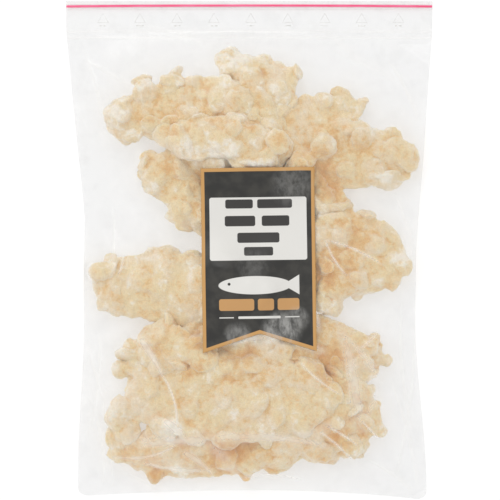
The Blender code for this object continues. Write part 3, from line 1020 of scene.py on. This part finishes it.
# %% The label's sheet
label_low, label_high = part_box("label")
LABEL_TURN = math.radians(0.8)
LABEL_WIDTH = label_high.x - label_low.x - (label_high.y - label_low.y) * math.sin(LABEL_TURN)
LABEL_LENGTH = label_high.y - label_low.y - (label_high.x - label_low.x) * math.sin(LABEL_TURN)
LABEL_NOTCH = 0.1 * LABEL_LENGTH
LABEL_CELLS = (78, 126)
LABEL_LIFT = 0.5 * MM
LABEL_SMOOTHINGS = 14
PAPER_THICKNESS = 0.15 * MM


def smoothed(heights, times):
    """The sheet's heights after its bumps have been rubbed down a number of times."""
    out = heights.copy()
    for _ in range(times):
        out[1:-1, 1:-1] = mean_of_neighbours(out)
    return np.maximum(out, heights) * 0.5 + out * 0.5


def height_at(heights, x, y):
    """Height of a sheet at a place in plan, between its four nearest points."""
    across, along = plan_to_grid(x, y)
    column = np.clip(across * (COLUMNS - 1), 0, COLUMNS - 1.001)
    row = np.clip(along * (ROWS - 1), 0, ROWS - 1.001)
    c, r = int(column), int(row)
    right, up = column - c, row - r
    near = heights[r, c] * (1 - right) + heights[r, c + 1] * right
    far = heights[r + 1, c] * (1 - right) + heights[r + 1, c + 1] * right
    return near * (1 - up) + far * up


def make_label():
    columns, rows = LABEL_CELLS
    sheet = bmesh.new()
    uv_layer = sheet.loops.layers.uv.new("print")
    bmesh.ops.create_grid(sheet, x_segments=columns, y_segments=rows, size=0.5)
    bridged = smoothed(upper, LABEL_SMOOTHINGS)
    middle = (label_low + label_high) / 2
    cos, sin = math.cos(LABEL_TURN), math.sin(LABEL_TURN)
    print_place = {}
    for vertex in sheet.verts:
        from_middle = vertex.co.x * LABEL_WIDTH
        length = LABEL_LENGTH - LABEL_NOTCH * (1.0 - abs(2.0 * vertex.co.x))
        down = length * (0.5 - vertex.co.y)
        print_place[vertex] = (0.5 + from_middle / LABEL_LENGTH, 1.0 - down / LABEL_LENGTH)
        up = LABEL_LENGTH / 2 - down
        x = middle.x + from_middle * cos - up * sin
        y = middle.y + from_middle * sin + up * cos
        vertex.co = (x, y, height_at(bridged, x, y) + LABEL_LIFT)
    for face in sheet.faces:
        for loop in face.loops:
            loop[uv_layer].uv = print_place[loop.vert]
    mesh = bpy.data.meshes.new("label_sheet")
    sheet.to_mesh(mesh)
    sheet.free()
    mesh.shade_smooth()
    piece = bpy.data.objects.new("label_sheet", mesh)
    scene.collection.objects.link(piece)
    paper = piece.modifiers.new("paper", "SOLIDIFY")
    paper.thickness = PAPER_THICKNESS
    paper.offset = 1.0
    return applied(piece, "label_sheet")


label_sheet = make_label()
print("label:", round(LABEL_WIDTH, 4), "by", round(LABEL_LENGTH, 4), "m")

# %% [markdown]
# Every field of the print is a rounded bar, so one shader group draws them all. It measures
# how far a point lies outside a bar with round corners, and puts out 1 inside and 0 outside.
# All its sizes are in millimetres on the label, from the middle line and down from the top.


# %% Shader group: a rounded bar
def make_bar_group():
    group = new_group(
        "rounded_bar",
        "ShaderNodeTree",
        {
            "Across": ("NodeSocketFloat", 0.0),
            "Down": ("NodeSocketFloat", 0.0),
            "Middle across": ("NodeSocketFloat", 0.0),
            "Middle down": ("NodeSocketFloat", 0.0),
            "Half width": ("NodeSocketFloat", 10.0),
            "Half height": ("NodeSocketFloat", 2.0),
            "Corner": ("NodeSocketFloat", 1.0),
        },
        {"Mask": "NodeSocketFloat"},
    )
    nodes = Tree(group)
    given = nodes.add("NodeGroupInput").outputs
    outside = []
    for place, middle, half in (
        ("Across", "Middle across", "Half width"),
        ("Down", "Middle down", "Half height"),
    ):
        away = nodes.math("ABSOLUTE", nodes.math("SUBTRACT", given[place], given[middle]))
        beyond = nodes.math("ADD", nodes.math("SUBTRACT", away, given[half]), given["Corner"])
        outside.append(nodes.math("MAXIMUM", beyond, 0.0))
    squares = [nodes.math("MULTIPLY", value, value) for value in outside]
    distance = nodes.math("SQRT", nodes.math("ADD", *squares))
    over = nodes.math("SUBTRACT", distance, given["Corner"])
    nodes.add("NodeGroupOutput", {"Mask": nodes.between(over, -0.15, 0.15, 1.0, 0.0)})
    return group


# %% Label material
# Bars of the print: middle across, middle down, half width, half height, corner, in millimetres.
PANEL = (0.0, 41.8, 33.4, 21.7, 1.6)
DARK_BARS = [
    (-13.0, 24.6, 9.5, 3.1, 1.4),
    (11.5, 24.6, 12.0, 3.1, 1.4),
    (-12.5, 36.4, 10.5, 3.6, 1.5),
    (12.0, 36.4, 9.5, 3.6, 1.5),
    (0.0, 48.0, 14.5, 3.5, 1.5),
    (0.0, 57.4, 10.0, 3.0, 1.3),
]
GOLD_BARS = [
    (-15.5, 93.8, 12.0, 4.0, 1.6),
    (4.5, 93.8, 5.5, 4.0, 1.6),
    (20.0, 93.8, 7.5, 4.0, 1.6),
]
PALE_BARS = [
    (-22.5, 102.6, 5.0, 0.35, 0.3),
    (0.0, 102.6, 14.5, 0.85, 0.6),
    (22.5, 102.6, 5.0, 0.35, 0.3),
]
GOLD_EDGE = 2.4
# The fish: its body is an ellipse, its tail fin a triangle that opens from a point.
FISH_MIDDLE = (-2.7, 80.5)
FISH_HALF = (25.0, 6.2)
FIN_POINT, FIN_END, FIN_SLOPE = 16.3, 27.65, 0.6
FISH_EYE = (-20.5, 79.6, 1.0, 1.0, 1.0)
SOFT_EDGE = 0.15
# Worn places, partly painted highlights: middle across, middle down, radius in millimetres, and how
# strong.
SCUFFS_AND_HIGHLIGHTS = [
    (15.0, 112.0, 16.0, 0.65),
    (26.0, 104.0, 10.0, 0.45),
    (-15.0, 116.0, 12.0, 0.4),
    (24.0, 12.0, 18.0, 0.22),
    (-4.0, 66.0, 14.0, 0.12),
]


def make_label_print():
    material, nodes, shader = new_material("label_print")
    bar_group = make_bar_group()
    uv = nodes.add("ShaderNodeUVMap", uv_map="print").outputs[0]
    split = nodes.add("ShaderNodeSeparateXYZ", {0: uv})
    size = LABEL_LENGTH / MM
    across = nodes.math("MULTIPLY", nodes.math("SUBTRACT", split.outputs["X"], 0.5), size)
    down = nodes.math("MULTIPLY", nodes.math("SUBTRACT", 1.0, split.outputs["Y"]), size)

    def bar(middle_across, middle_down, half_width, half_height, corner):
        node = nodes.add("ShaderNodeGroup")
        node.node_tree = bar_group
        nodes.tree.links.new(across, node.inputs["Across"])
        nodes.tree.links.new(down, node.inputs["Down"])
        values = (middle_across, middle_down, half_width, half_height, corner)
        for socket, value in zip(list(node.inputs)[2:], values):
            socket.default_value = value
        return node.outputs["Mask"]

    def any_of(masks):
        total = masks[0]
        for mask in masks[1:]:
            total = nodes.math("MAXIMUM", total, mask)
        return total

    half_width, notch = LABEL_WIDTH / 2 / MM, LABEL_NOTCH / MM
    side = nodes.math("ABSOLUTE", across)
    to_side = nodes.math("SUBTRACT", half_width, side)
    tail = nodes.math("MULTIPLY_ADD", side, notch / half_width, size - notch)
    slope = math.cos(math.atan2(notch, half_width))
    to_tail = nodes.math("MULTIPLY", nodes.math("SUBTRACT", tail, down), slope)
    to_edge = nodes.math("MINIMUM", nodes.math("MINIMUM", to_side, down), to_tail)
    gold_edge = nodes.between(to_edge, GOLD_EDGE - SOFT_EDGE, GOLD_EDGE + SOFT_EDGE, 1.0, 0.0)

    def off_middle(middle_across, middle_down, reach_across, reach_down):
        """The square of how far a point is from a middle, where the two reaches count as 1."""
        x = nodes.math("MULTIPLY", nodes.math("SUBTRACT", across, middle_across), 1 / reach_across)
        y = nodes.math("MULTIPLY", nodes.math("SUBTRACT", down, middle_down), 1 / reach_down)
        return nodes.math("ADD", nodes.math("MULTIPLY", x, x), nodes.math("MULTIPLY", y, y))

    fish = nodes.between(off_middle(*FISH_MIDDLE, *FISH_HALF), 0.96, 1.04, 1.0, 0.0)
    opening = nodes.math("MULTIPLY", nodes.math("SUBTRACT", across, FIN_POINT), FIN_SLOPE)
    off_line = nodes.math("ABSOLUTE", nodes.math("SUBTRACT", down, FISH_MIDDLE[1]))
    fan = nodes.between(nodes.math("SUBTRACT", opening, off_line), -SOFT_EDGE, SOFT_EDGE)
    before_end = nodes.between(across, FIN_END - SOFT_EDGE, FIN_END + SOFT_EDGE, 1.0, 0.0)
    fish = nodes.math("MAXIMUM", fish, nodes.math("MULTIPLY", fan, before_end))

    place = nodes.add("ShaderNodeTexCoord").outputs["Object"]
    mottle = nodes.add(
        "ShaderNodeTexNoise", {"Vector": place, "Scale": 1 / (9 * MM), "Detail": 5.0}
    ).outputs[0]

    ink = nodes.mix(nodes.between(mottle, 0.35, 0.7), from_srgb(36, 35, 32), from_srgb(57, 55, 50))
    colour = nodes.mix(gold_edge, ink, from_srgb(204, 155, 92))
    colour = nodes.mix(bar(*PANEL), colour, from_srgb(228, 226, 221))
    for bars, tone in ((DARK_BARS, (52, 50, 48)), (GOLD_BARS, (200, 152, 96))):
        colour = nodes.mix(any_of([bar(*values) for values in bars]), colour, from_srgb(*tone))
    fish = nodes.math("SUBTRACT", fish, bar(*FISH_EYE), clamp=True)
    pale = any_of([fish] + [bar(*values) for values in PALE_BARS])
    colour = nodes.mix(pale, colour, from_srgb(228, 226, 221))

    inputs = {"Vector": place, "Rotation": (0.0, 0.0, 0.35), "Scale": (1.0, 0.55, 1.0)}
    streaks = nodes.add("ShaderNodeMapping", inputs)
    scuff_and_highlight_noise = nodes.add(
        "ShaderNodeTexNoise",
        {"Vector": streaks.outputs[0], "Scale": 1 / (5 * MM), "Detail": 7.0, "Roughness": 0.65},
    ).outputs[0]
    scuffs_and_highlights = []
    for middle_across, middle_down, radius, strength in SCUFFS_AND_HIGHLIGHTS:
        away = off_middle(middle_across, middle_down, radius, radius)
        scuffs_and_highlights.append(nodes.between(away, 0.0, 1.0, strength, 0.0))
    # The pale patches are partly worn print and partly a painted highlight on the label.
    worn_and_highlit = nodes.math("MULTIPLY", any_of(scuffs_and_highlights), nodes.between(scuff_and_highlight_noise, 0.34, 0.66, 0.15, 1.0))
    colour = nodes.mix(worn_and_highlit, colour, from_srgb(196, 195, 191))
    links = nodes.tree.links
    links.new(colour, shader.inputs["Base Color"])
    links.new(nodes.between(mottle, 0.3, 0.7, 0.28, 0.42), shader.inputs["Roughness"])
    fibre = nodes.add("ShaderNodeTexNoise", {"Vector": place, "Scale": 1 / (3 * MM), "Detail": 4.0})
    bump = nodes.add(
        "ShaderNodeBump", {"Strength": 0.25, "Distance": 0.25 * MM, "Height": fibre.outputs[0]}
    )
    links.new(bump.outputs[0], shader.inputs["Normal"])
    return material


label_sheet.data.materials.clear()
label_sheet.data.materials.append(make_label_print())

# %% [markdown]
# ## The zip
#
# The frame's own bead is the right shape, so it stays and only gets a material. A zip's
# coloured core runs inside clear edges and bows a little, where the two halves were pressed
# together by hand. The core is a band around a line in Object coordinates, and everything
# outside the band is nearly clear.


# %% Zip material
ZIP_CORE_HALF = 0.62 * MM
ZIP_CORE_FADE = 0.35 * MM
ZIP_BOW = 0.7 * MM  # how far the core's ends lie below its middle
zip_low, zip_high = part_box("zip_track")
ZIP_MIDDLE = (zip_low.y + zip_high.y) / 2 + ZIP_BOW / 2


def make_zip_plastic():
    material, nodes, shader = new_material("zip_plastic")
    place = nodes.add("ShaderNodeTexCoord").outputs["Object"]
    split = nodes.add("ShaderNodeSeparateXYZ", {0: place})
    run = nodes.math("MULTIPLY", split.outputs["X"], 2.0 / BAG_WIDTH)
    bow = nodes.math("MULTIPLY", nodes.math("MULTIPLY", run, run), ZIP_BOW)
    line = nodes.math("SUBTRACT", ZIP_MIDDLE, bow)
    off = nodes.math("ABSOLUTE", nodes.math("SUBTRACT", split.outputs["Y"], line))
    core = nodes.between(off, ZIP_CORE_HALF, ZIP_CORE_HALF + ZIP_CORE_FADE, 1.0, 0.0)
    streaks = nodes.add(
        "ShaderNodeMapping", {"Vector": place, "Scale": (60.0, 900.0, 900.0)}, vector_type="POINT"
    )
    noise = nodes.add("ShaderNodeTexNoise", {"Vector": streaks.outputs[0], "Scale": 1.0}).outputs[0]
    deep, light = from_srgb(246, 80, 128), from_srgb(250, 116, 156)
    pink = nodes.mix(nodes.between(noise, 0.3, 0.7), deep, light)
    colour = nodes.mix(core, from_srgb(240, 236, 236), pink)
    links = nodes.tree.links
    links.new(colour, shader.inputs["Base Color"])
    links.new(nodes.between(core, 0.0, 1.0, 0.12, 1.0), shader.inputs["Alpha"])
    links.new(nodes.between(noise, 0.3, 0.7, 0.3, 0.45), shader.inputs["Roughness"])
    return material


zip_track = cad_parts["zip_track"]
zip_track.data.materials.clear()
zip_track.data.materials.append(make_zip_plastic())

# %% [markdown]
# ## Marks on the header
#
# A row of small outlined triangles, each over a short bar, is printed across the film under
# the zip in a pale sand colour. One triangle is an open curve swept along a thin profile. It
# is placed on a line of points by Geometry Nodes.


# %% Header marks
FIRST_MARK = (at(0.101, 0.0).x, bag_high.y - 13.0 * MM, 0.42 * MM)


def make_mark_row():
    group = new_group(
        "mark_row",
        "GeometryNodeTree",
        {
            "Count": ("NodeSocketInt", 9),
            "Spacing": ("NodeSocketFloat", 25.7 * MM),
            "Triangle radius": ("NodeSocketFloat", 4.3 * MM),
            "Stroke": ("NodeSocketFloat", 0.16 * MM),
            "Material": ("NodeSocketMaterial", None),
        },
        {"Geometry": "NodeSocketGeometry"},
    )
    group.is_modifier = True
    nodes = Tree(group)
    given = nodes.add("NodeGroupInput").outputs
    ring = nodes.add("GeometryNodeMeshCircle", {"Vertices": 3, "Radius": given["Triangle radius"]})
    turned = nodes.add(
        "GeometryNodeTransform",
        {"Geometry": ring.outputs[0], "Rotation": (0.0, 0.0, math.pi / 2)},
    )
    curve = nodes.add("GeometryNodeMeshToCurve", {"Mesh": turned.outputs[0]})
    inputs = {"Resolution": 6, "Radius": given["Stroke"]}
    profile = nodes.add("GeometryNodeCurvePrimitiveCircle", inputs, mode="RADIUS")
    stroke = nodes.add(
        "GeometryNodeCurveToMesh", {"Curve": curve.outputs[0], "Profile Curve": profile.outputs[0]}
    )
    flat = nodes.add(
        "GeometryNodeTransform", {"Geometry": stroke.outputs[0], "Scale": (1.0, 1.0, 0.3)}
    )
    bar = nodes.add("GeometryNodeMeshGrid", {"Size X": 5.0 * MM, "Size Y": 0.7 * MM})
    below = nodes.add(
        "GeometryNodeTransform", {"Geometry": bar.outputs[0], "Translation": (0.0, -4.4 * MM, 0.0)}
    )
    mark = nodes.add("GeometryNodeJoinGeometry")
    for shape in (flat, below):
        nodes.tree.links.new(shape.outputs[0], mark.inputs[0])
    step = nodes.add("ShaderNodeCombineXYZ", {"X": given["Spacing"]})
    line = nodes.add(
        "GeometryNodeMeshLine", {"Count": given["Count"], "Offset": step.outputs[0]}, mode="OFFSET"
    )
    row = nodes.add(
        "GeometryNodeInstanceOnPoints", {"Points": line.outputs[0], "Instance": mark.outputs[0]}
    )
    whole = nodes.add("GeometryNodeRealizeInstances", {"Geometry": row.outputs[0]}).outputs[0]
    whole = nodes.add(
        "GeometryNodeTransform",
        {"Geometry": whole, "Translation": FIRST_MARK},
    ).outputs[0]
    inked = nodes.add(
        "GeometryNodeSetMaterial", {"Geometry": whole, "Material": given["Material"]}
    )
    nodes.add("NodeGroupOutput", {"Geometry": inked.outputs[0]})
    return group


def make_sand_ink():
    material, nodes, shader = new_material("sand_ink")
    place = nodes.add("ShaderNodeTexCoord").outputs["Object"]
    noise = nodes.add(
        "ShaderNodeTexNoise", {"Vector": place, "Scale": 1 / (2 * MM), "Detail": 3.0}
    ).outputs[0]
    colour = nodes.mix(noise, from_srgb(230, 225, 214), from_srgb(238, 234, 226))
    nodes.tree.links.new(colour, shader.inputs["Base Color"])
    nodes.tree.links.new(nodes.between(noise, 0.3, 0.7, 0.1, 0.4), shader.inputs["Alpha"])
    shader.inputs["Roughness"].default_value = 0.5
    return material


maker = bpy.data.objects.new("mark_maker", bpy.data.meshes.new("mark_maker"))
scene.collection.objects.link(maker)
row = maker.modifiers.new("mark_row", "NODES")
row.node_group = make_mark_row()
set_input(row, "Material", make_sand_ink())
header_marks = applied(maker, "header_marks")
print("header marks:", len(header_marks.data.polygons), "faces")

# %% The pieces join the frame
for fillet in fillets:
    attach(fillet, "root")
    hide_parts("bag")
for film in (film_front, film_back, header_marks):
    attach(film, "root")
    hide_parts("bag")
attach(label_sheet, "root")
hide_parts("label")

# %% Floor
bpy.ops.mesh.primitive_plane_add(size=6.0, location=(0.0, 0.0, -0.0002))
floor = bpy.context.active_object
floor.name = "floor"
white, _, white_shader = new_material("white_table")
white_shader.inputs["Base Color"].default_value = (0.6, 0.6, 0.6, 1.0)
white_shader.inputs["Roughness"].default_value = 0.9
white_shader.inputs["Emission Color"].default_value = (1.0, 1.0, 1.0, 1.0)
white_shader.inputs["Emission Strength"].default_value = 0.46
floor.data.materials.append(white)
